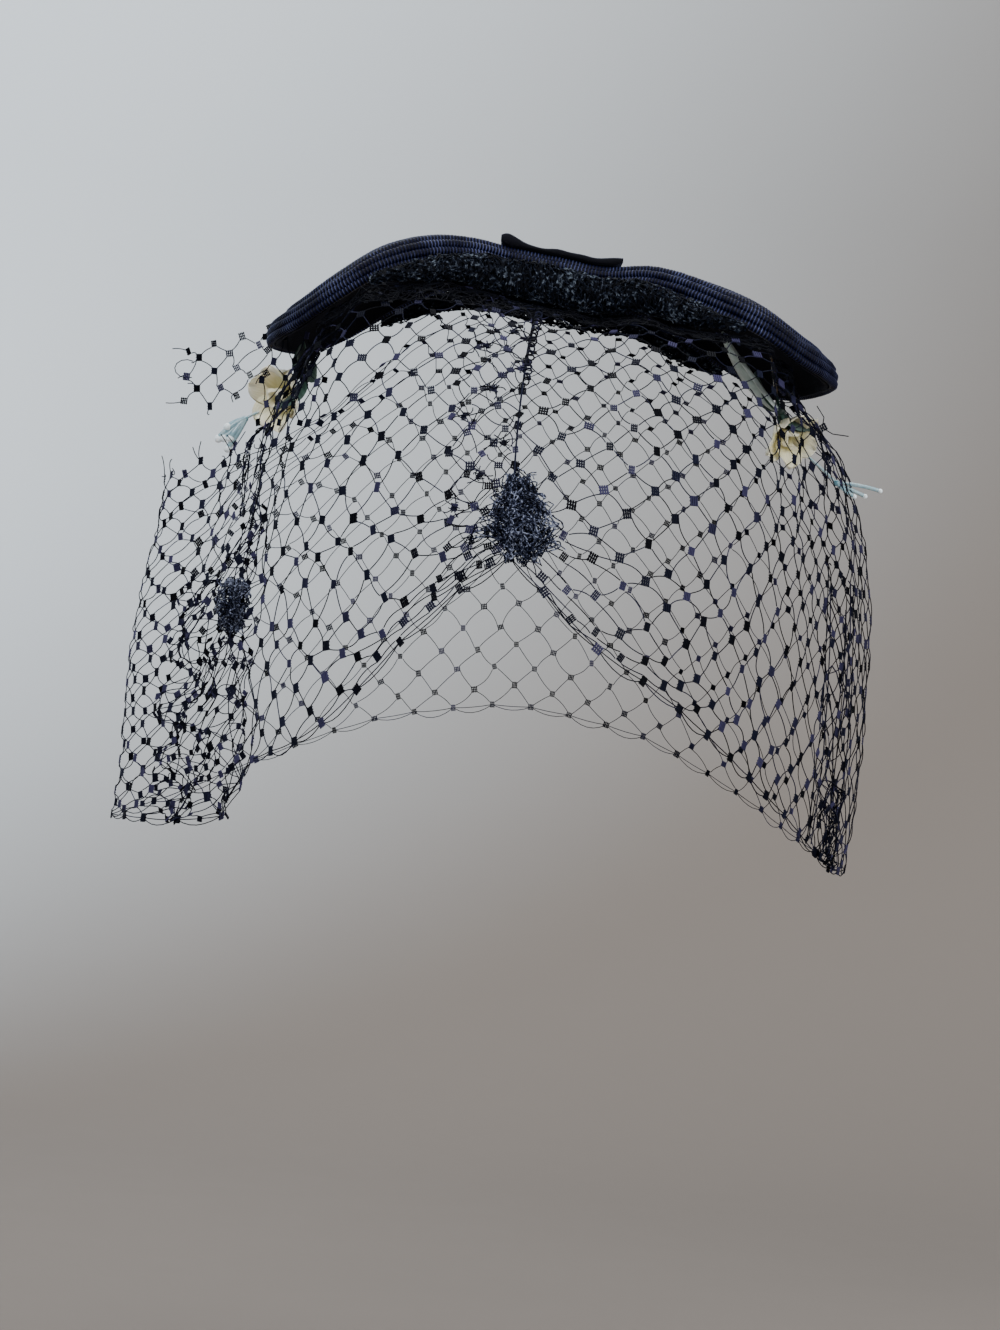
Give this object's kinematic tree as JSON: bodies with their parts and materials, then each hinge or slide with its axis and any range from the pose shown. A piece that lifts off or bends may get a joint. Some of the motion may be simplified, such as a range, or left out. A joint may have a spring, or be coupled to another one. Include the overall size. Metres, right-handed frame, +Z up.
{
  "type": "veiled half hat",
  "caption": "Bow-shaped half hat of sewn navy cord rows with a velvet underside and knot, a gathered block-net veil and small cream flowers at the temples.",
  "frame": {"origin": "the seat on top of the wearer's head, under the middle of the hat; the part hangs below it", "axes": "+Z up; the wearer faces +Y; +X is the wearer's right. Azimuth 0 looks along +Y, at the back of the hat"},
  "size_m": [0.2162, 0.2211, 0.1713],
  "materials": {
    "navy_cord": "tightly wrapped rayon gimp cord with a soft sheen",
    "navy_velvet": "matte velvet, near black",
    "veil_net": "matte navy block net of fine thread",
    "petals": "stiffened cream petals with a waxy gloss",
    "leaves": "stiffened dark green leaves",
    "stamens": "glossy pale blue dipped stamens"
  },
  "bodies": {
    "root": {"left_wing": "navy_cord", "right_wing": "navy_cord", "left_lining": "navy_velvet", "right_lining": "navy_velvet", "knot": "navy_velvet", "back_gather": "veil_net", "front_gather": "veil_net", "veil_back_left": "veil_net", "veil_back_right": "veil_net", "veil_front": "veil_net", "veil_flap": "veil_net", "back_pinch": "veil_net", "side_pinch": "veil_net", "left_blossom": "petals", "right_blossom": "petals", "left_leaves": "leaves", "right_leaves": "leaves", "left_stamens": "stamens", "right_stamens": "stamens"}
  },
  "joints": []
}
